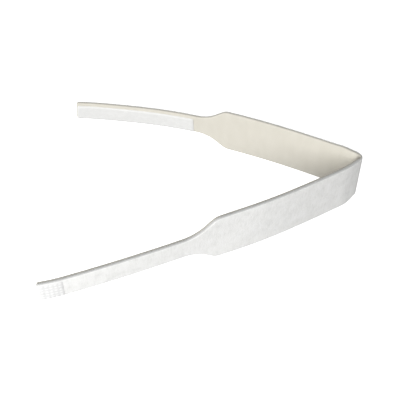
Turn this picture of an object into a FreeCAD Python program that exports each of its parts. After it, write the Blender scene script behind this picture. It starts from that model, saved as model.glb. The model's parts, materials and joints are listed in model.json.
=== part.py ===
"""Spa headband: a flat laminated band, folded once at a soft crease.

The band is described flat first, as one developed blank: x runs along the band from the back tail's
tip to the front tail's tip, y is the thickness (positive outwards, away from the head) and z is up,
with the lower edge of the wide pad at z = 0. Every layer of the blank is divided at the same flex
lines into links. Each link is then placed along the folded band, so that a link turns against the
next one about a vertical line in the middle of the foam.
"""
import os

import FreeCAD
import Part
import Sketcher

V = FreeCAD.Vector

DIMENSIONS = {
    # widths of the band, and its outline along one end
    "pad_width": 55.0,
    "tail_width": 24.0,
    "tail_length": 136.6,
    "neck_length": 30.0,
    "tip_radius": 2.4,
    # thickness of each layer
    "cover_thick": 0.8,
    "foam_thick": 3.2,
    "lining_thick": 0.8,
    # fastening on the tails
    "tape_thick": 1.4,
    "loop_width": 19.5,
    "loop_drop": 1.75,
    "loop_length": 132.6,
    "hook_width": 21.5,
    "hook_length": 21.5,
    "tape_inset": 1.0,
    "tape_tip_corner": 1.8,
    "tape_end_corner": 0.8,
    # distances between flex lines
    "tip_link": 48.6,
    "arm_link": 57.0,
    "back_root_link": 35.8,
    "front_root_link": 49.1,
    "crease_link": 11.4,
    # angles of the band where it lies folded, one for each flex line, from the back tip onwards
    "back_end_bend": 4.8,
    "back_tail_bend": 6.8,
    "back_neck_bend": 5.4,
    "back_outer_bend": 4.0,
    "back_mid_bend": 8.0,
    "back_crease_bend": 23.6,
    "mid_crease_bend": 75.6,
    "front_crease_bend": 13.3,
    "front_mid_bend": 3.6,
    "front_outer_bend": 4.2,
    "front_neck_bend": 0.3,
    "front_tail_bend": 1.6,
    "front_end_bend": 4.2,
    # direction of the back tail's end, measured from +X
    "first_heading": 353.8,
    # gaps that let the links turn: half angles each side of a flex line, and half the width of its bottom
    "arm_inner_cut": 20.0,
    "arm_outer_cut": 3.0,
    "side_inner_cut": 18.0,
    "side_outer_cut": 10.0,
    "mid_inner_cut": 39.0,
    "mid_outer_cut": 21.0,
    "half_gap": 0.15,
    "cut_reach": 6.0,
}

# Each link: its name and the dimension that holds its length.
LINKS = [
    ("back_tail_end", "tip_link"),
    ("back_tail", "arm_link"),
    ("back_neck", "arm_link"),
    ("back_pad_outer", "arm_link"),
    ("back_pad_mid", "arm_link"),
    ("back_pad_inner", "back_root_link"),
    ("crease_back", "crease_link"),
    ("crease_front", "crease_link"),
    ("front_pad_inner", "front_root_link"),
    ("front_pad_mid", "arm_link"),
    ("front_pad_outer", "arm_link"),
    ("front_neck", "arm_link"),
    ("front_tail", "arm_link"),
    ("front_tail_end", "tip_link"),
]

# Each flex line: the dimension that holds its bend, and the kind of gap cut there.
FLEX_LINES = [
    ("back_end_bend", "arm"),
    ("back_tail_bend", "arm"),
    ("back_neck_bend", "arm"),
    ("back_outer_bend", "arm"),
    ("back_mid_bend", "arm"),
    ("back_crease_bend", "side"),
    ("mid_crease_bend", "mid"),
    ("front_crease_bend", "side"),
    ("front_mid_bend", "arm"),
    ("front_outer_bend", "arm"),
    ("front_neck_bend", "arm"),
    ("front_tail_bend", "arm"),
    ("front_end_bend", "arm"),
]

LOOP_LINKS = ("back_tail_end", "back_tail", "back_neck")
HOOK_LINK = "front_tail_end"

UP = V(0, 0, 1)

doc = FreeCAD.newDocument("spa_headband")
sheet = doc.addObject("Spreadsheet::Sheet", "dims")
for row, (alias, value) in enumerate(DIMENSIONS.items(), start=1):
    sheet.set(f"A{row}", alias)
    sheet.set(f"B{row}", str(value))
    sheet.setAlias(f"B{row}", alias)
doc.recompute()


def dim(alias):
    """A driving dimension as a number."""
    return float(sheet.get(alias))


def along(index):
    """Expression for where a link starts on the flat blank; one past the last link is the band's length."""
    return " + ".join(["0 mm"] + [f"dims.{length} * 1 mm" for _, length in LINKS[:index]])


def plane_of(body, role):
    """One of a body's own origin planes."""
    return next(feature for feature in body.Origin.OriginFeatures if feature.Role == role)


def arc_from(tangent_end, along_line, other_end):
    """The arc that leaves tangent_end along a line and reaches other_end."""
    normal = V(-along_line.y, along_line.x, 0).normalize()
    chord = other_end - tangent_end
    radius = chord.Length**2 / (2 * normal.dot(chord))
    centre = tangent_end + normal * radius
    middle = (tangent_end + other_end) * 0.5 - centre
    return Part.Arc(tangent_end, centre + middle.normalize() * abs(radius), other_end)


def draw_loop(sketch, corners, rounded=False):
    """A closed outline through corners, each a pair of expressions; rounded makes every second edge an arc.

    An arc is tangent to the tail's straight edge beside it, which follows it or comes before it in turn.
    """
    points = [V(sketch.evalExpression(x).Value, sketch.evalExpression(y).Value, 0) for x, y in corners]
    count = len(points)
    edges = []
    for k, point in enumerate(points):
        end = points[(k + 1) % count]
        if not rounded or k % 2:
            edge = Part.LineSegment(point, end)
        elif k % 4:
            edge = arc_from(point, point - points[k - 1], end)
        else:
            edge = arc_from(end, points[(k + 2) % count] - end, point)
        edges.append(sketch.addGeometry(edge))

    def end_at(edge, point):
        """Which end of an edge lies on a point: 1 for its start, 2 for its end."""
        return min((1, 2), key=lambda end: sketch.getPoint(edge, end).distanceToPoint(point))

    for k, (point, corner) in enumerate(zip(points, corners)):
        before, after = edges[k - 1], edges[k]
        here = end_at(after, point)
        joint = "Tangent" if rounded and k % 4 in (1, 2) else "Coincident"
        sketch.addConstraint(Sketcher.Constraint(joint, before, end_at(before, point), after, here))
        places = zip(("DistanceX", "DistanceY"), (point.x, point.y), (-2, -1), corner)
        for kind, value, axis, expression in places:
            if abs(value) < 1e-9:
                sketch.addConstraint(Sketcher.Constraint("PointOnObject", after, here, axis))
            else:
                number = sketch.addConstraint(Sketcher.Constraint(kind, -1, 1, after, here, value))
                sketch.setExpression(f"Constraints[{number}]", expression)


def padded_body(name, role, corners, thickness, offset="0 mm", rounded=False):
    """A body with one outline on an origin plane, moved along the plane's normal by offset, and padded."""
    body = doc.addObject("PartDesign::Body", name)
    sketch = body.newObject("Sketcher::SketchObject", f"{name}_outline")
    sketch.AttachmentSupport = [(plane_of(body, role), "")]
    sketch.MapMode = "FlatFace"
    sketch.setExpression(".AttachmentOffset.Base.z", offset)
    draw_loop(sketch, corners, rounded)
    doc.recompute()
    pad = body.newObject("PartDesign::Pad", f"{name}_pad")
    pad.Profile = sketch
    pad.setExpression("Length", thickness)
    return body


def blank_corners():
    """The band's outline in elevation, anticlockwise from the back tip: tails, flared necks and wide pad."""
    length = along(len(LINKS))
    low = "(dims.pad_width - dims.tail_width) * 1 mm / 2"
    high = "(dims.pad_width + dims.tail_width) * 1 mm / 2"
    tip, tail = "dims.tip_radius * 1 mm", "dims.tail_length * 1 mm"
    neck = "(dims.tail_length + dims.neck_length) * 1 mm"
    near = [("0 mm", f"{low} + {tip}"), (tip, low), (tail, low), (neck, "0 mm")]
    lower = near + [(f"{length} - {x}", z) for x, z in reversed(near)]
    top = {"0 mm": "dims.pad_width * 1 mm", low: high, f"{low} + {tip}": f"{high} - {tip}"}
    return lower + [(x, top[z]) for x, z in reversed(lower)]


def strip_corners(start, end, width, start_corner, end_corner, drop="0"):
    """A strip with rounded corners between two places along the band, drop below the band's middle line."""
    low = f"((dims.pad_width - dims.{width}) / 2 - {drop}) * 1 mm"
    high = f"((dims.pad_width + dims.{width}) / 2 - {drop}) * 1 mm"
    near, far = f"dims.{start_corner} * 1 mm", f"dims.{end_corner} * 1 mm"
    return [
        (start, f"{low} + {near}"),
        (f"{start} + {near}", low),
        (f"{end} - {far}", low),
        (end, f"{low} + {far}"),
        (end, f"{high} - {far}"),
        (f"{end} - {far}", high),
        (f"{start} + {near}", high),
        (start, f"{high} - {near}"),
    ]


def link_corners(index):
    """A link in plan: its ends stand back from each flex line, in a gap that widens inwards and outwards."""
    last = len(LINKS) - 1
    reach, start, end = "dims.cut_reach * 1 mm", along(index), along(index + 1)

    def edge(sign, line, side):
        """How far along the band an end reaches, on the outer or inner side or at the flex line itself."""
        if line in (0, last + 1):
            return f"{sign} {reach}"
        away = {"+": "-", "-": "+"}[sign]
        kind = FLEX_LINES[line - 1][1]
        slope = "0 mm" if side is None else f"{reach} * tan(dims.{kind}_{side}_cut * 1 deg)"
        return f"{away} dims.half_gap * 1 mm {away} {slope}"

    first = [(f"{start} {edge('-', index, side)}", side) for side in ("outer", None, "inner")]
    second = [(f"{end} {edge('+', index + 1, side)}", side) for side in ("inner", None, "outer")]
    across = {"outer": reach, None: "0 mm", "inner": f"-{reach}"}
    return [(x, across[side]) for x, side in first + second]


half = "dims.foam_thick * 1 mm / 2"
cover_face = f"{half} + dims.cover_thick * 1 mm"
lining_face = f"{half} + dims.lining_thick * 1 mm"
tape = "dims.tape_thick * 1 mm"

# The XZ plane's normal is -Y: an offset of -t puts a sketch at y = t, and a pad grows towards the head.
blanks = {
    "cover": padded_body(
        "cover_blank", "XZ_Plane", blank_corners(), "dims.cover_thick", f"-({cover_face})", rounded=True
    ),
    "foam": padded_body(
        "foam_blank", "XZ_Plane", blank_corners(), "dims.foam_thick", f"-({half})", rounded=True
    ),
    "lining": padded_body(
        "lining_blank", "XZ_Plane", blank_corners(), "dims.lining_thick", half, rounded=True
    ),
}
loop_start = "dims.tape_inset * 1 mm"
loop_end = f"{loop_start} + dims.loop_length * 1 mm"
loop_corners = strip_corners(
    loop_start, loop_end, "loop_width", "tape_tip_corner", "tape_end_corner", "dims.loop_drop"
)
loop_blank = padded_body(
    "loop_blank", "XZ_Plane", loop_corners, "dims.tape_thick", lining_face, rounded=True
)

hook_end = f"{along(len(LINKS))} - {loop_start}"
hook_start = f"{hook_end} - dims.hook_length * 1 mm"
hook_corners = strip_corners(hook_start, hook_end, "hook_width", "tape_end_corner", "tape_tip_corner")
hook_blank = padded_body(
    "hook_blank", "XZ_Plane", hook_corners, "dims.tape_thick", f"-({cover_face} + {tape})", rounded=True
)

# Where each link lies: its turn about +Z, and the place of its first flex line.
headings, starts = [], []
heading, place = dim("first_heading"), V(0, 0, 0)
for index, (_, length) in enumerate(LINKS):
    if index:
        heading -= dim(FLEX_LINES[index - 1][0])
    headings.append(heading)
    starts.append(place)
    place = place + FreeCAD.Rotation(UP, heading).multVec(V(dim(length), 0, 0))

sub_parts = {}


def cut_from(blank, prism, index, name):
    """One layer of one link, cut from its flat blank and laid in its place along the folded band."""
    piece = doc.addObject("Part::Common", name)
    piece.Base, piece.Tool = blank, prism
    piece.Label = name
    turn = FreeCAD.Rotation(UP, headings[index])
    flat_start = V(sum(dim(length) for _, length in LINKS[:index]), 0, 0)
    piece.Placement = FreeCAD.Placement(starts[index] - turn.multVec(flat_start), turn)
    sub_parts[name] = piece


for index, (link, _) in enumerate(LINKS):
    prism = padded_body(f"{link}_outline", "XY_Plane", link_corners(index), "dims.pad_width")
    for layer, blank in blanks.items():
        cut_from(blank, prism, index, f"{link}_{layer}")
    if link in LOOP_LINKS:
        cut_from(loop_blank, prism, index, f"{link}_loop_strip")
    if link == HOOK_LINK:
        cut_from(hook_blank, prism, index, "hook_tab")
doc.recompute()

# The origin is the middle of the whole band's box, on the surface that it stands on.
whole = FreeCAD.BoundBox()
for piece in sub_parts.values():
    whole.add(piece.Shape.optimalBoundingBox(False))
to_origin = V(-whole.Center.x, -whole.Center.y, -whole.ZMin)
for piece in sub_parts.values():
    piece.Placement.Base = piece.Placement.Base + to_origin
doc.recompute()

for thing in doc.Objects:
    if "Invalid" in thing.State or "Error" in thing.State:
        raise RuntimeError(f"{thing.Name} has state {thing.State}")
for name, piece in sub_parts.items():
    if piece.Shape.isNull() or not piece.Shape.isValid() or len(piece.Shape.Solids) != 1:
        raise RuntimeError(f"{name} isn't one sound solid")

os.makedirs("parts", exist_ok=True)
for name, piece in sub_parts.items():
    piece.Shape.exportStep(f"parts/{name}.step")
size = [round(x, 1) for x in (whole.XLength, whole.YLength, whole.ZLength)]
print(len(sub_parts), "sub-parts,", size, "mm")
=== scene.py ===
"""Spa headband: foam laminated between a white brushed cover and a cream lining, folded once at a crease.

The band is described flat and bent along its centreline. A place on it has three numbers: s along the band
from the back tail's tip, y through it (positive on the cover's side) and z up. Lengths are in metres.
"""
import json
import math

import bmesh
import bpy
import numpy as np
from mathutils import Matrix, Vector, noise

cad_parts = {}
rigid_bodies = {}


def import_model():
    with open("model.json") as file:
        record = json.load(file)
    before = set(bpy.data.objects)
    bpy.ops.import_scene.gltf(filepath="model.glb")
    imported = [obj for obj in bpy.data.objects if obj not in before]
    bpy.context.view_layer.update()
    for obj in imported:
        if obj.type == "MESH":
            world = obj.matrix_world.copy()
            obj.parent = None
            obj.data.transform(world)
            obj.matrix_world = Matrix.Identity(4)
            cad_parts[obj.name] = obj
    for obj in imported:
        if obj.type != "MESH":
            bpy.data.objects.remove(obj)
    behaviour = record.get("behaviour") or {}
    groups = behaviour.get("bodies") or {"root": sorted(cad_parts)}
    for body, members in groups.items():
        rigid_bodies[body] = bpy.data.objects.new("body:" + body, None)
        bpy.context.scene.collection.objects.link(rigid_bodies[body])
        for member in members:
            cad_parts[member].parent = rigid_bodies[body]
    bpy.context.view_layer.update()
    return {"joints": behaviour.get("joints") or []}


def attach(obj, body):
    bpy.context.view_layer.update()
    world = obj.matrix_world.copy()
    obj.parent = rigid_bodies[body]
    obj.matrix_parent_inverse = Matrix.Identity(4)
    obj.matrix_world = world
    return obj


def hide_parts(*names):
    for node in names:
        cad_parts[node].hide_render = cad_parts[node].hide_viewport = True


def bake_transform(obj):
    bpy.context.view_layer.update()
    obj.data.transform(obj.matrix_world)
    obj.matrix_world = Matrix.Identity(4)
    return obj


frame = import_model()

MM = 0.001

# The links of the CAD model, from the back tail's tip to the front tail's tip.
LINKS = [
    "back_tail_end", "back_tail", "back_neck", "back_pad_outer", "back_pad_mid", "back_pad_inner",
    "crease_back", "crease_front",
    "front_pad_inner", "front_pad_mid", "front_pad_outer", "front_neck", "front_tail", "front_tail_end",
]
LAST = len(LINKS) - 1
TIP_LINK = 48.6 * MM

# Outline of the flat band.
PAD_HALF = 27.5 * MM
TAIL_HALF = 12 * MM
TAIL_LENGTH = 136.6 * MM
NECK_LENGTH = 30 * MM
TIP_RADIUS = 2.4 * MM
SHOULDER_ROUND = 7 * MM
SHOULDER_SHARE = 0.9  # share of the shoulders' corner that is eased away
TIP_SLANT = 0.11  # slope of the cut across the back tail's end
TIP_SLANT_REACH = 30 * MM

# Layers. Depths through the band are measured from the middle of the foam.
FACE = 2.4 * MM  # depth of the outer faces
SKIN = 0.8 * MM
EDGE_ROUND = 1.7 * MM  # radius over which the skins roll in at a cut edge
SEAM_HALF = 0.35 * MM  # half the gap between the skins, where the foam shows
TIP_SHARE = 0.5  # share of the thickness that is left at a tail's tip
FOAM_DROP = 0.35 * SKIN  # how far the foam's edge lies below the skins' edges
FOAM_OVERLAP = 0.02 * MM  # how far the foam reaches into each skin
FOAM_EDGE_HALF = 0.1 * MM

# The crease and what it does to the band beside it.
CREASE_LIFT = 6.0 * MM  # how far the lower edge rises at the crease
LIFT_REACH = 9 * MM
CREASE_PUCKER = 1.2 * MM  # how far the upper edge stands up beside it
PUCKER_BEFORE = 7 * MM  # how far before the crease that is highest
PUCKER_REACH = 6 * MM
PINCH = 0.55  # share of the thickness that is lost in the crease
PINCH_REACH = 3.4 * MM
WRINKLE_DEPTH = 0.2 * MM
WRINKLE_PITCH = 4.6 * MM
WRINKLE_REACH = 10 * MM

# The loop tape, on the back tail's inner face.
LOOP_HALF = 9.75 * MM
LOOP_DROP = 1.75 * MM
LOOP_LENGTH = 132.6 * MM
LOOP_BED = 0.1 * MM  # how far its back lies inside the lining
LOOP_BACKING = 0.5 * MM
PILE_HEIGHT = 0.6 * MM
SELVEDGE = 0.3 * MM  # width of the flat margin beside the pile
PILE_RISE = 1.8 * MM  # width over which the pile rises

# The hook tab, on the front tail's outer face.
HOOK_HALF = 10.75 * MM
HOOK_LENGTH = 21.5 * MM
HOOK_BED = 0.4 * MM  # how far its back lies inside the cover
HOOK_RISE = 0.28 * MM
HOOK_EDGE_DROP = 0.26 * MM
HOOK_EDGE_REACH = 0.7 * MM
WELD_PITCH = 4.0 * MM  # grid of bond points on the tab
WELDS = 5  # along each side of the grid
WELD_DOME = 0.28 * MM
WELD_RADIUS = 0.9 * MM

# Both tapes.
TAPE_INSET = 1.0 * MM
TAPE_TIP_CORNER = 1.8 * MM
TAPE_END_CORNER = 0.8 * MM

# The folded band from above: places along it in millimetres, and its direction there in degrees from +X.
# These and the leans are rounded from a fitted curve, so they follow the CAD hinges closely, not exactly.
HEADINGS = [
    (0, -1.7), (24.6, -7.2), (77.1, -10.4), (134.1, -18), (191.1, -23.2), (248.1, -27.3),
    (297.8, -29.3), (307.8, -51), (320.3, -51), (327.3, -140), (335.8, -140), (349.8, -148.6),
    (359.7, -148.6), (412.8, -150.7), (469.8, -156.1), (526.8, -155.3), (583.8, -157.2), (636.3, -159.2),
    (660.9, -168.4),
]
# How far its upper edge leans outwards, in degrees, at places along it.
LEANS = [
    (0, -6.3), (128.6, -6.3), (188.6, -5.3), (293.6, -5.3), (319.6, 0), (327.6, 0), (353.6, 1.7),
    (472.6, 1.7), (532.6, 4.3),
]


def link_joint(k):
    """The joint between link k and the next one."""
    pair = {LINKS[k], LINKS[k + 1]}
    return next(j for j in frame["joints"] if {j["parent"], j["child"]} == pair)


HINGES = [Vector(link_joint(k)["pos_m"]) for k in range(LAST)]
HINGE_S = [TIP_LINK]
for before, after in zip(HINGES, HINGES[1:]):
    HINGE_S.append(HINGE_S[-1] + (after - before).length)
LENGTH = HINGE_S[-1] + TIP_LINK
EDGES_S = [0.0, *HINGE_S, LENGTH]
MIDDLES = [(a + b) / 2 for a, b in zip(EDGES_S, EDGES_S[1:])]
CREASE_S = HINGE_S[LAST // 2]
MID_Z = PAD_HALF
LOOP_END = TAPE_INSET + LOOP_LENGTH
LOOP_Z = MID_Z - LOOP_DROP
HOOK_END = LENGTH - TAPE_INSET
HOOK_START = HOOK_END - HOOK_LENGTH
HOOK_MIDDLE = HOOK_END - HOOK_LENGTH / 2


def smooth(t):
    t = np.clip(t, 0, 1)
    return t * t * (3 - 2 * t)


class Path:
    """The band's centreline, seen from above, as one smooth curve through the CAD links."""

    STEP = 0.25 * MM
    EASE = 24  # steps over which each change of curvature is eased, away from the crease
    MARGIN = 10 * MM  # how far it runs past each tip
    SHARP_HALF = 7 * MM  # how far from the crease nothing is eased
    SHARP_FADE = 5 * MM

    def __init__(self):
        self.s = np.arange(-self.MARGIN, LENGTH + self.MARGIN, self.STEP)
        places, degrees = np.array(HEADINGS).T
        heading = np.interp(self.s, places * MM, np.radians(degrees))
        eased = np.convolve(np.pad(heading, self.EASE, "edge"), np.ones(self.EASE) / self.EASE, "same")
        eased = eased[self.EASE:-self.EASE]
        near = smooth((abs(self.s - CREASE_S) - self.SHARP_HALF) / self.SHARP_FADE)
        self.heading = heading + near * (eased - heading)
        steps = np.stack([np.cos(self.heading), np.sin(self.heading)], 1) * self.STEP
        self.xy = np.cumsum(steps, 0)
        cad = np.array([[h.x, h.y] for h in HINGES])
        mine = np.stack([np.interp(HINGE_S, self.s, self.xy[:, i]) for i in range(2)], 1)
        self.xy += (cad - mine).mean(0)

    def centre(self, s):
        return np.stack([np.interp(s, self.s, self.xy[:, i]) for i in range(2)], -1)

    def place(self, s, y, z):
        """Points of the bent band, for arrays of s, y and z. The back tail's end is cut on the slant."""
        s = s - TIP_SLANT * (MID_Z + TAIL_HALF - z) * (1 - smooth(s / TIP_SLANT_REACH))
        h = np.interp(s, self.s, self.heading)
        at, degrees = np.array(LEANS).T
        y = y + (z - MID_Z) * np.tan(np.radians(np.interp(s, at * MM, degrees)))
        c = self.centre(s)
        return np.stack([c[..., 0] - np.sin(h) * y, c[..., 1] + np.cos(h) * y, z], -1)


path = Path()


def half_height(s):
    """Half the band's height at s, with flared necks, eased shoulders and rounded tips."""
    s = np.asarray(s, float)
    x = np.clip(np.minimum(s, LENGTH - s), 0, None)
    rise = PAD_HALF - TAIL_HALF
    radius = (NECK_LENGTH**2 + rise**2) / (2 * rise)
    along = np.clip(x - TAIL_LENGTH, 0, NECK_LENGTH)
    flare = TAIL_HALF + radius - np.sqrt(radius**2 - along**2)
    flare = np.where(x >= TAIL_LENGTH + NECK_LENGTH, PAD_HALF, flare)
    slope = NECK_LENGTH / math.sqrt(radius**2 - NECK_LENGTH**2)
    past = x - TAIL_LENGTH - NECK_LENGTH
    ease = np.clip(SHOULDER_ROUND - abs(past), 0, None) ** 2 / (4 * SHOULDER_ROUND) * slope * SHOULDER_SHARE
    corner = TIP_RADIUS - np.sqrt(np.clip(TIP_RADIUS**2 - np.clip(TIP_RADIUS - x, 0, None) ** 2, 0, None))
    return flare - ease - corner


def grain(s, z, size, seed):
    """Smooth noise from -1 to 1 over the flat band, for arrays of s and z."""
    flat = np.stack([np.ravel(s) / size, np.ravel(z) / size], 1)
    values = [noise.noise(Vector((a, b, seed))) for a, b in flat]
    return np.array(values).reshape(np.shape(s))


def upper_edge(s):
    away = (s - CREASE_S + PUCKER_BEFORE) / PUCKER_REACH
    return MID_Z + half_height(s) + CREASE_PUCKER * np.exp(-(away**2))


def lower_edge(s):
    away = (s - CREASE_S) / LIFT_REACH
    return MID_Z - half_height(s) + CREASE_LIFT * np.exp(-(away**2))


# ---------------------------------------------------------------- cross-sections

ROLL_POINTS = 7  # round each rolled edge
FACE_POINTS = 30  # across a face between its rolled edges
TAPE_POINTS = 44  # across a tape


def rolled(into, full, end):
    """A face's distance from the middle: full, but easing down to end over the last EDGE_ROUND at an edge."""
    share = np.clip(1 - into / EDGE_ROUND, 0, 1)
    return end + (full - end) * np.sqrt(1 - share**2)


def tip_roll(s):
    """How much of the thickness is left towards the tails' tips, where the edge is rolled too."""
    return rolled(np.minimum(s, LENGTH - s), 1, TIP_SHARE)


def squeezed(s, y):
    """The whole laminate is thinner at the crease, which pinches it towards its outer face."""
    left = 1 - PINCH * np.exp(-(((s - CREASE_S) / PINCH_REACH) ** 2))
    return FACE - (FACE - y) * left


def cover_bumps(s, z):
    """The brushed cover is a little cloudy."""
    return 0.10 * MM * grain(s, z, 9 * MM, 3.1) + 0.05 * MM * grain(s, z, 2.6 * MM, 8.7)


def lining_bumps(s, z):
    """The lining is flat, with shallow wrinkles where the crease squeezes it."""
    wrinkle = np.cos((s - CREASE_S) * 2 * math.pi / WRINKLE_PITCH + 1.2 * grain(s, z, 16 * MM, 5.5))
    near = np.exp(-(((s - CREASE_S) / WRINKLE_REACH) ** 2))
    return WRINKLE_DEPTH * wrinkle * near + 0.05 * MM * grain(s, z, 7 * MM, 1.3)


def face(s, z, side):
    """y of the cover's outer face (side 1) or the lining's (side -1) at any place, for arrays of s and z."""
    into = np.clip(np.minimum(upper_edge(s) - z, z - lower_edge(s)), 0, None)
    bumps = cover_bumps(s, z) if side > 0 else lining_bumps(s, z)
    y = side * (rolled(into, FACE, SEAM_HALF) + bumps * np.clip(into / EDGE_ROUND, 0, 1))
    return squeezed(s, y * tip_roll(s))


def edge_heights(s, depth):
    """Heights of a face's points at each s, bottom to top, for a surface depth inside the outer one."""
    turn = np.linspace(0, math.pi / 2, ROLL_POINTS)[None]
    high, low = upper_edge(s)[:, None], lower_edge(s)[:, None]
    top = high - EDGE_ROUND + (EDGE_ROUND - depth) * np.sin(turn)
    bottom = low + EDGE_ROUND - (EDGE_ROUND - depth) * np.sin(turn[:, ::-1])
    share = np.linspace(0, 1, FACE_POINTS + 2)[None, 1:-1]
    middle = (low + EDGE_ROUND) * (1 - share) + (high - EDGE_ROUND) * share
    return np.concatenate([bottom, middle, top], 1)


def inner_face(s, depth, end):
    """Distance from the middle of a surface that lies depth inside a skin's outer face."""
    turn = np.linspace(0, math.pi / 2, ROLL_POINTS)[None]
    arc = end + (FACE - depth - end) * np.cos(turn)
    row = np.concatenate([arc[:, ::-1], np.full((1, FACE_POINTS), FACE - depth), arc], 1)
    return row * tip_roll(s)[:, None]


def skin_section(s, side):
    """A skin's closed section: its outer face, then its inner one, which meet at the seam along each edge."""
    across = s[:, None] + np.zeros((1, 2 * ROLL_POINTS + FACE_POINTS))
    z_out, z_in = edge_heights(s, 0), edge_heights(s, SKIN)
    y_out = face(across, z_out, side)
    y_in = squeezed(across, side * inner_face(s, SKIN, SEAM_HALF))
    return np.concatenate([y_out, y_in[:, ::-1]], 1), np.concatenate([z_out, z_in[:, ::-1]], 1)


def cover_section(s):
    return skin_section(s, 1)


def lining_section(s):
    return skin_section(s, -1)


def foam_section(s):
    """The foam fills the skins and shows in the seam between them, a little below their edges."""
    across = s[:, None] + np.zeros((1, 2 * ROLL_POINTS + FACE_POINTS))
    z = edge_heights(s, FOAM_DROP)
    y = inner_face(s, SKIN - FOAM_OVERLAP, FOAM_EDGE_HALF)
    ys = [squeezed(across, y), squeezed(across, -y)[:, ::-1]]
    return np.concatenate(ys, 1), np.concatenate([z, z[:, ::-1]], 1)


def tape_section(s, middle, half, positive_side, negative_side):
    """A tape's closed section between two faces, each of which gives y for s and z."""
    even = np.linspace(-1, 1, TAPE_POINTS)[None]
    z = middle + half[:, None] * (0.7 * even + 0.3 * np.sin(even * math.pi / 2))
    across = s[:, None] + 0 * z
    ys = [positive_side(across, z), negative_side(across, z)[:, ::-1]]
    return np.concatenate(ys, 1), np.concatenate([z, z[:, ::-1]], 1)


# ---------------------------------------------------------------- meshes

ROW = 1.2 * MM  # spacing of a mesh's rows along the band
FINE_ROW = 0.5 * MM  # within FINE_HALF of the crease, and near the tips
TIP_ROW = 0.2 * MM  # where the tips' edges roll in
FINE_HALF = 10 * MM
GHOST_ROW = 0.3 * MM  # how far the extra rows lie past a piece's cuts, for its normals there


def rows_between(first, last):
    """Places along the band for the rows of a piece, close together at the crease and the tips."""
    out, s = [first], first
    while s < last:
        tip = min(abs(s), abs(LENGTH - s))
        fine = abs(s - CREASE_S) < FINE_HALF or tip < 2 * TIP_RADIUS
        s += TIP_ROW if tip < EDGE_ROUND else FINE_ROW if fine else ROW
        out.append(s)
    out[-1] = last
    if len(out) > 2 and out[-1] - out[-2] < 0.4 * TIP_ROW:
        del out[-2]
    return np.array(out)


def surface(section, s):
    y, z = section(s)
    return path.place(s[:, None] + 0 * y, y, z), np.stack([s[:, None] + 0 * y, z, y], -1)


def strip_mesh(name, section, first, last):
    """A closed piece of a layer between two places along the band, with true normals at its cuts."""
    s = rows_between(first, last)
    ghost = np.concatenate([[s[0] - GHOST_ROW], s, [s[-1] + GHOST_ROW]])
    points, flat = surface(section, ghost)
    along = points[2:] - points[:-2]
    round_it = np.roll(points, -1, 1) - np.roll(points, 1, 1)
    normals = np.cross(along, round_it[1:-1])
    normals /= np.linalg.norm(normals, axis=-1, keepdims=True) + 1e-12
    points, flat = points[1:-1], flat[1:-1]
    rows, columns = points.shape[:2]
    if (normals[rows // 2, 0] @ (points[rows // 2, 0] - points[rows // 2].mean(0))) < 0:
        normals = -normals
    index = np.arange(rows * columns).reshape(rows, columns)
    a, b = index[:-1], index[1:]
    quads = np.stack([a, b, np.roll(b, -1, 1), np.roll(a, -1, 1)], -1).reshape(-1, 4)
    faces = [tuple(int(i) for i in q) for q in quads]
    faces += [tuple(int(i) for i in index[0]), tuple(int(i) for i in index[-1, ::-1])]
    mesh = bpy.data.meshes.new(name)
    mesh.from_pydata(points.reshape(-1, 3).tolist(), [], faces)
    mesh.update()
    tidy = bmesh.new()
    tidy.from_mesh(mesh)
    bmesh.ops.recalc_face_normals(tidy, faces=tidy.faces)
    tidy.to_mesh(mesh)
    tidy.free()
    attribute = mesh.attributes.new("band", "FLOAT_VECTOR", "POINT")
    attribute.data.foreach_set("vector", flat.astype(np.float32).ravel())
    caps = [p for p in mesh.polygons if len(p.vertices) > 4]
    mesh.shade_smooth()
    table = normals.reshape(-1, 3)
    loops = np.array([table[lp.vertex_index] for lp in mesh.loops])
    for cap in caps:
        loops[list(cap.loop_indices)] = cap.normal
    mesh.normals_split_custom_set(loops.tolist())
    thing = bpy.data.objects.new(name, mesh)
    bpy.context.scene.collection.objects.link(thing)
    return thing


# ---------------------------------------------------------------- materials


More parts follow.
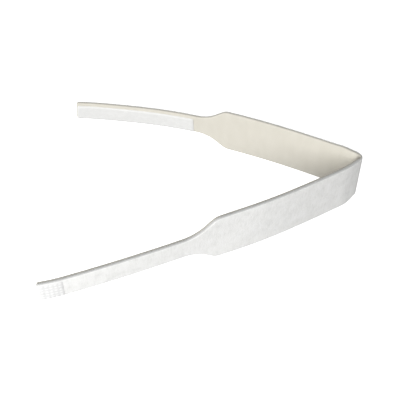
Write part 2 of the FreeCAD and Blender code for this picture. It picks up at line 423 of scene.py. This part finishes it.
class Nodes:
    """Short calls for building one material's node tree."""

    # Depth span of the painted shade on the rolled edges.
    SHADE_SPAN = 8  # millimetres of depth that an edge shade's ramp covers

    def __init__(self, name):
        self.material = bpy.data.materials.new(name)
        self.material.use_nodes = True
        self.tree = self.material.node_tree
        self.shader = self.tree.nodes["Principled BSDF"]

    def add(self, kind, **values):
        node = self.tree.nodes.new(kind)
        for key, value in values.items():
            setattr(node, key, value)
        return node

    def link(self, source, target):
        self.tree.links.new(source, target)

    def band(self, scale=(1, 1, 1), shift=(0, 0, 0)):
        """The flat band's own coordinates in millimetres: along, up and through."""
        where = self.add("ShaderNodeAttribute", attribute_name="band")
        size = self.add("ShaderNodeMapping")
        size.inputs["Scale"].default_value = [k / MM for k in scale]
        size.inputs["Location"].default_value = shift
        self.link(where.outputs["Vector"], size.inputs["Vector"])
        return size.outputs["Vector"]

    def noise(self, vector, size, detail=2.0, rough=0.5):
        """Noise whose features are about size millimetres across."""
        node = self.add("ShaderNodeTexNoise")
        node.inputs["Scale"].default_value = 1 / size
        node.inputs["Detail"].default_value = detail
        node.inputs["Roughness"].default_value = rough
        self.link(vector, node.inputs["Vector"])
        return node.outputs["Fac"]

    def cells(self, vector, size):
        node = self.add("ShaderNodeTexVoronoi")
        node.inputs["Scale"].default_value = 1 / size
        self.link(vector, node.inputs["Vector"])
        return node.outputs["Distance"]

    def ribs(self, vector, pitch, direction="X", distortion=0.0):
        node = self.add("ShaderNodeTexWave", bands_direction=direction)
        node.inputs["Scale"].default_value = math.pi / 10 / pitch
        node.inputs["Distortion"].default_value = distortion
        node.inputs["Detail"].default_value = 2
        self.link(vector, node.inputs["Vector"])
        return node.outputs["Fac"]

    def maths(self, operation, a, b):
        node = self.add("ShaderNodeMath", operation=operation)
        for socket, value in zip(node.inputs, (a, b)):
            if isinstance(value, (int, float)):
                socket.default_value = value
            else:
                self.link(value, socket)
        return node.outputs[0]

    def ramp(self, value, stops):
        node = self.add("ShaderNodeValToRGB")
        elements = node.color_ramp.elements
        while len(elements) < len(stops):
            elements.new(0.5)
        for element, (position, colour) in zip(elements, stops):
            element.position = position
            element.color = (*colour, 1)
        self.link(value, node.inputs["Fac"])
        return node.outputs["Color"]

    def painted_edge_shade(self, colour, stops, back_shade_share=1.0):
        """Paints shade into a colour: greys it by the depth y in millimetres, darkest at the rolled edges'
        seam, fully on the front half and by back_shade_share of that on the back half.
        """
        split = self.add("ShaderNodeSeparateXYZ")
        self.link(self.band(), split.inputs[0])
        depth = self.maths("ADD", self.maths("MULTIPLY", split.outputs["Z"], 1 / self.SHADE_SPAN), 0.5)
        # Painted shade: a grey by depth that stands in for the shade on the rolled edges.
        grey = self.ramp(depth, [(0.5 + y / self.SHADE_SPAN, (g, g, g)) for y, g in stops])
        along = self.maths("MULTIPLY", split.outputs["X"], MM / LENGTH)
        # The painted shade is full on the front half and back_shade_share of it on the back half, where the
        # edges were lit differently.
        share = self.ramp(along, [(0.44, (back_shade_share,) * 3), (0.5, (1, 1, 1))])
        mixed = self.add("ShaderNodeMix", data_type="RGBA", blend_type="MULTIPLY")
        self.link(share, mixed.inputs["Factor"])
        self.link(colour, mixed.inputs["A"])
        self.link(grey, mixed.inputs["B"])
        return mixed.outputs["Result"]

    def finish(self, colour, height, depth, roughness, sheen, sheen_roughness=0.5):
        """Sets the shader; depth is the bump's real height in millimetres."""
        self.link(colour, self.shader.inputs["Base Color"])
        bump = self.add("ShaderNodeBump")
        bump.inputs["Distance"].default_value = depth * MM
        bump.inputs["Strength"].default_value = 1.0
        self.link(height, bump.inputs["Height"])
        self.link(bump.outputs["Normal"], self.shader.inputs["Normal"])
        if isinstance(roughness, (int, float)):
            self.shader.inputs["Roughness"].default_value = roughness
        else:
            self.link(roughness, self.shader.inputs["Roughness"])
        self.shader.inputs["Sheen Weight"].default_value = sheen
        self.shader.inputs["Sheen Roughness"].default_value = sheen_roughness
        self.shader.inputs["Specular IOR Level"].default_value = 0.25
        return self.material


def cover_material():
    """White brushed loop fabric: a matted pile with soft upright streaks, with painted shade greying its
    edges where they roll in.
    """
    n = Nodes("white_brushed_cover")
    at = n.band()
    streaks = n.noise(n.band((1, 0.22, 1)), 1.6, 2, 0.6)
    cloud = n.noise(at, 9, 2)
    pile = n.noise(at, 0.7, 4, 0.65)
    curls = n.cells(at, 0.9)
    soft = n.maths("ADD", n.maths("MULTIPLY", cloud, 0.4), n.maths("MULTIPLY", streaks, 0.6))
    colour = n.ramp(
        n.maths("ADD", n.maths("MULTIPLY", soft, 0.65), n.maths("MULTIPLY", pile, 0.35)),
        [(0.34, (0.79, 0.79, 0.77)), (0.5, (0.88, 0.88, 0.863)), (0.66, (0.93, 0.93, 0.92))],
    )
    # Painted shade on the rolled edges, full on the front half and 0.35 of it on the back half.
    colour = n.painted_edge_shade(colour, [(0.3, 0.50), (1.0, 0.52), (1.8, 0.57), (2.15, 0.72), (2.38, 1)], 0.35)
    height = n.maths("ADD", n.maths("MULTIPLY", pile, 0.6), n.maths("MULTIPLY", curls, 0.25))
    height = n.maths("ADD", height, n.maths("MULTIPLY", streaks, 0.3))
    return n.finish(colour, height, 0.3, 0.92, 0.25)


def lining_material():
    """Cream knitted lining: fine upright wales crossed by faint courses, with painted shade darkening its
    edges where they roll in.
    """
    n = Nodes("cream_knit_lining")
    at = n.band()
    wales = n.ribs(at, 1.1, "X", 0.6)
    courses = n.ribs(at, 0.8, "Y", 0.8)
    cloud = n.noise(n.band((1, 0.35, 1)), 9, 2)
    knit = n.maths("ADD", n.maths("MULTIPLY", wales, 0.65), n.maths("MULTIPLY", courses, 0.35))
    colour = n.ramp(
        n.maths("ADD", n.maths("MULTIPLY", knit, 0.5), n.maths("MULTIPLY", cloud, 0.5)),
        [(0.2, (0.565, 0.54, 0.468)), (0.5, (0.61, 0.585, 0.517)), (0.8, (0.645, 0.62, 0.552))],
    )
    # Painted shade on the rolled edges, nearly as strong on the back half.
    colour = n.painted_edge_shade(colour, [(-2.38, 1), (-2.15, 0.90), (-1.3, 0.72), (-0.3, 0.56)], 0.9)
    return n.finish(colour, knit, 0.12, 0.88, 0.12)


def foam_material():
    """Cut foam: open cells of mixed size, with painted shade greying them in their depth."""
    n = Nodes("cut_foam")
    at = n.band()
    cells = n.cells(at, 0.45)
    fine = n.noise(at, 0.25, 2)
    height = n.maths("ADD", n.maths("MULTIPLY", cells, 0.7), n.maths("MULTIPLY", fine, 0.3))
    # The colour follows the cells' height: the darker hollows are painted shade.
    colour = n.ramp(
        height,
        [(0.15, (0.46, 0.46, 0.44)), (0.45, (0.57, 0.57, 0.545)), (0.8, (0.66, 0.66, 0.635))],
    )
    return n.finish(colour, height, 0.3, 0.95, 0.0)


def loop_material():
    """White loop tape: a felted field of loops, combed along the tape."""
    n = Nodes("white_loop_tape")
    combed = n.band((0.45, 1, 1))
    loops = n.noise(combed, 0.55, 4, 0.7)
    cloud = n.noise(n.band(), 5, 2)
    colour = n.ramp(
        n.maths("ADD", n.maths("MULTIPLY", loops, 0.6), n.maths("MULTIPLY", cloud, 0.4)),
        [(0.3, (0.62, 0.62, 0.605)), (0.5, (0.665, 0.665, 0.655)), (0.7, (0.71, 0.71, 0.70))],
    )
    return n.finish(colour, loops, 0.25, 0.8, 0.2)


def hook_material():
    """White nylon: a fine field of hooks with a soft gloss, brighter at its grid of bond points."""
    n = Nodes("white_hook_tape")
    at = n.band()
    weave = n.maths("MULTIPLY", n.ribs(at, 0.65, "X"), n.ribs(at, 0.65, "Y"))
    to_grid = [(WELD_PITCH / 2 - (place % WELD_PITCH)) / MM for place in (HOOK_MIDDLE, MID_Z)]
    grid = n.band(shift=(*to_grid, 0))
    dots = n.maths("MULTIPLY", n.ribs(grid, WELD_PITCH / MM, "X"), n.ribs(grid, WELD_PITCH / MM, "Y"))
    tone = n.noise(at, 2, 3)
    colour = n.ramp(
        n.maths("ADD", n.maths("MULTIPLY", dots, 0.55), n.maths("MULTIPLY", tone, 0.45)),
        [(0.2, (0.74, 0.74, 0.735)), (0.4, (0.82, 0.82, 0.815)), (0.7, (0.89, 0.89, 0.885))],
    )
    return n.finish(colour, weave, 0.12, 0.55, 0.05)


COVER, LINING, FOAM = cover_material(), lining_material(), foam_material()
LOOPS, HOOKS = loop_material(), hook_material()

# ---------------------------------------------------------------- pieces

CUTS = [0.0, *MIDDLES[1:LAST], LENGTH]


def bend_with_band(thing):
    """Bakes a piece's placement into its mesh."""
    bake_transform(thing)


def make_layer(layer, section, material):
    """One layer of the laminate, in pieces that each cross one flex line and meet in the middle of a link."""
    for k in range(LAST):
        first, last = CUTS[k], CUTS[k + 1]
        thing = strip_mesh(f"{layer}_{k + 1:02d}_{LINKS[k]}", section, first, last)
        thing.data.materials.append(material)
        bend_with_band(thing)
        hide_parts(f"{LINKS[k]}_{layer}", f"{LINKS[k + 1]}_{layer}")


make_layer("cover", cover_section, COVER)
make_layer("foam", foam_section, FOAM)
make_layer("lining", lining_section, LINING)


def tape_half(s, start, end, half, start_corner, end_corner):
    """Half a tape's height at s, with its rounded corners."""
    out = 0 * s + half
    for radius, away in ((start_corner, s - start), (end_corner, end - s)):
        into = np.clip(radius - np.clip(away, 0, None), 0, None)
        out = np.minimum(out, half - radius + np.sqrt(np.clip(radius**2 - into**2, 0, None)))
    return out


def loop_half(s):
    return tape_half(s, TAPE_INSET, LOOP_END, LOOP_HALF, TAPE_TIP_CORNER, TAPE_END_CORNER)


def loop_tape_face(s, z):
    """The loop field stands up between two flat woven selvedges."""
    from_end = np.minimum(s - TAPE_INSET, LOOP_END - s)
    d = np.clip(np.minimum(loop_half(s) - abs(z - LOOP_Z), from_end), 0, None)
    field = smooth((d - SELVEDGE) / PILE_RISE)
    uneven = 0.10 * MM * grain(s, z, 1.8 * MM, 7.7) + 0.06 * MM * grain(s, z, 5 * MM, 2.2)
    return face(s, z, -1) - LOOP_BACKING - (PILE_HEIGHT + uneven) * field


def loop_tape_section(s):
    return tape_section(s, LOOP_Z, loop_half(s), lambda a, b: face(a, b, -1) + LOOP_BED, loop_tape_face)


def make_loop_tape():
    """The tape crosses two flex lines, so it is two pieces that meet in the middle of a link."""
    for k, first, last in ((0, TAPE_INSET, CUTS[1]), (1, CUTS[1], LOOP_END)):
        thing = strip_mesh(f"loop_tape_{k + 1:02d}", loop_tape_section, first, last)
        thing.data.materials.append(LOOPS)
        bend_with_band(thing)
        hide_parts(*[f"{LINKS[i]}_loop_strip" for i in ((0, 1) if k == 0 else (1, 2))])


def hook_half(s):
    return tape_half(s, HOOK_START, HOOK_END, HOOK_HALF, TAPE_END_CORNER, TAPE_TIP_CORNER)


def weld_grid():
    """Places of the tab's bond points: a square grid in its middle."""
    steps = [(i - (WELDS - 1) / 2) * WELD_PITCH for i in range(WELDS)]
    return [(HOOK_MIDDLE + a, MID_Z + b) for a in steps for b in steps]


def hook_tab_face(s, z):
    """The tab's outer face: bedded in the cover's pile, with a low dome at each bond point."""
    d = np.clip(np.minimum(hook_half(s) - abs(z - MID_Z), np.minimum(s - HOOK_START, HOOK_END - s)), 0, None)
    domes = sum(np.exp(-((s - a) ** 2 + (z - b) ** 2) / WELD_RADIUS**2) for a, b in weld_grid())
    eased = HOOK_EDGE_DROP * np.exp(-d / HOOK_EDGE_REACH)
    return face(s, z, 1) + HOOK_RISE - eased + WELD_DOME * domes


def hook_tab_section(s):
    return tape_section(s, MID_Z, hook_half(s), hook_tab_face, lambda a, b: face(a, b, 1) - HOOK_BED)


def make_hook_tab():
    thing = strip_mesh("hook_tab", hook_tab_section, HOOK_START, HOOK_END)
    thing.data.materials.append(HOOKS)
    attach(thing, LINKS[LAST])
    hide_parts("hook_tab")


make_loop_tape()
make_hook_tab()

# ---------------------------------------------------------------- studio

FLOOR_HALF = 60.0
FLOOR_DROP = 0.1 * MM
WORLD_STRENGTH = 0.295
CAMERA_PLACE = (-0.00876, -0.52485, 0.5328)
CAMERA_DOWN = 44.77  # degrees below the horizontal
LENS, SENSOR = 65.44, 36.0


def make_floor():
    """A pale floor with a glow of its own, which lights nothing by diffuse bounce."""
    n = Nodes("pale_floor")
    n.shader.inputs["Base Color"].default_value = (0.93, 0.93, 0.93, 1)
    n.shader.inputs["Roughness"].default_value = 0.9
    n.shader.inputs["Specular IOR Level"].default_value = 0.1
    n.shader.inputs["Emission Color"].default_value = (1, 1, 1, 1)
    n.shader.inputs["Emission Strength"].default_value = 0.8
    mesh = bpy.data.meshes.new("floor")
    h = FLOOR_HALF
    mesh.from_pydata([(-h, -h, 0), (h, -h, 0), (h, h, 0), (-h, h, 0)], [], [(0, 1, 2, 3)])
    mesh.materials.append(n.material)
    floor = bpy.data.objects.new("floor", mesh)
    bpy.context.scene.collection.objects.link(floor)
    floor.location.z = -FLOOR_DROP
    floor.visible_diffuse = False


def make_light(name, place, target, size, power):
    data = bpy.data.lights.new(name, "AREA")
    data.shape, data.size, data.energy = "SQUARE", size, power
    light = bpy.data.objects.new(name, data)
    bpy.context.scene.collection.objects.link(light)
    light.location = place
    light.rotation_euler = (Vector(target) - Vector(place)).to_track_quat("-Z", "Y").to_euler()


def make_world(strength):
    world = bpy.data.worlds.new("studio")
    bpy.context.scene.world = world
    world.use_nodes = True
    background = world.node_tree.nodes["Background"]
    background.inputs["Color"].default_value = (1, 1, 1, 1)
    background.inputs["Strength"].default_value = strength


def make_camera():
    data = bpy.data.cameras.new("camera")
    data.sensor_width, data.lens = SENSOR, LENS
    camera = bpy.data.objects.new("camera", data)
    bpy.context.scene.collection.objects.link(camera)
    camera.location = CAMERA_PLACE
    camera.rotation_euler = (math.radians(90 - CAMERA_DOWN), 0, 0)
    bpy.context.scene.camera = camera


make_floor()
make_light("key", place=(-0.83, -1.47, 0.865), target=(-0.03, 0, 0.03), size=1.25, power=50.5)
make_light("fill", place=(0.6, 2.0, 0.5), target=(0, 0, 0.03), size=1.5, power=18)
make_world(WORLD_STRENGTH)
make_camera()
bpy.context.scene.view_settings.view_transform = "Standard"
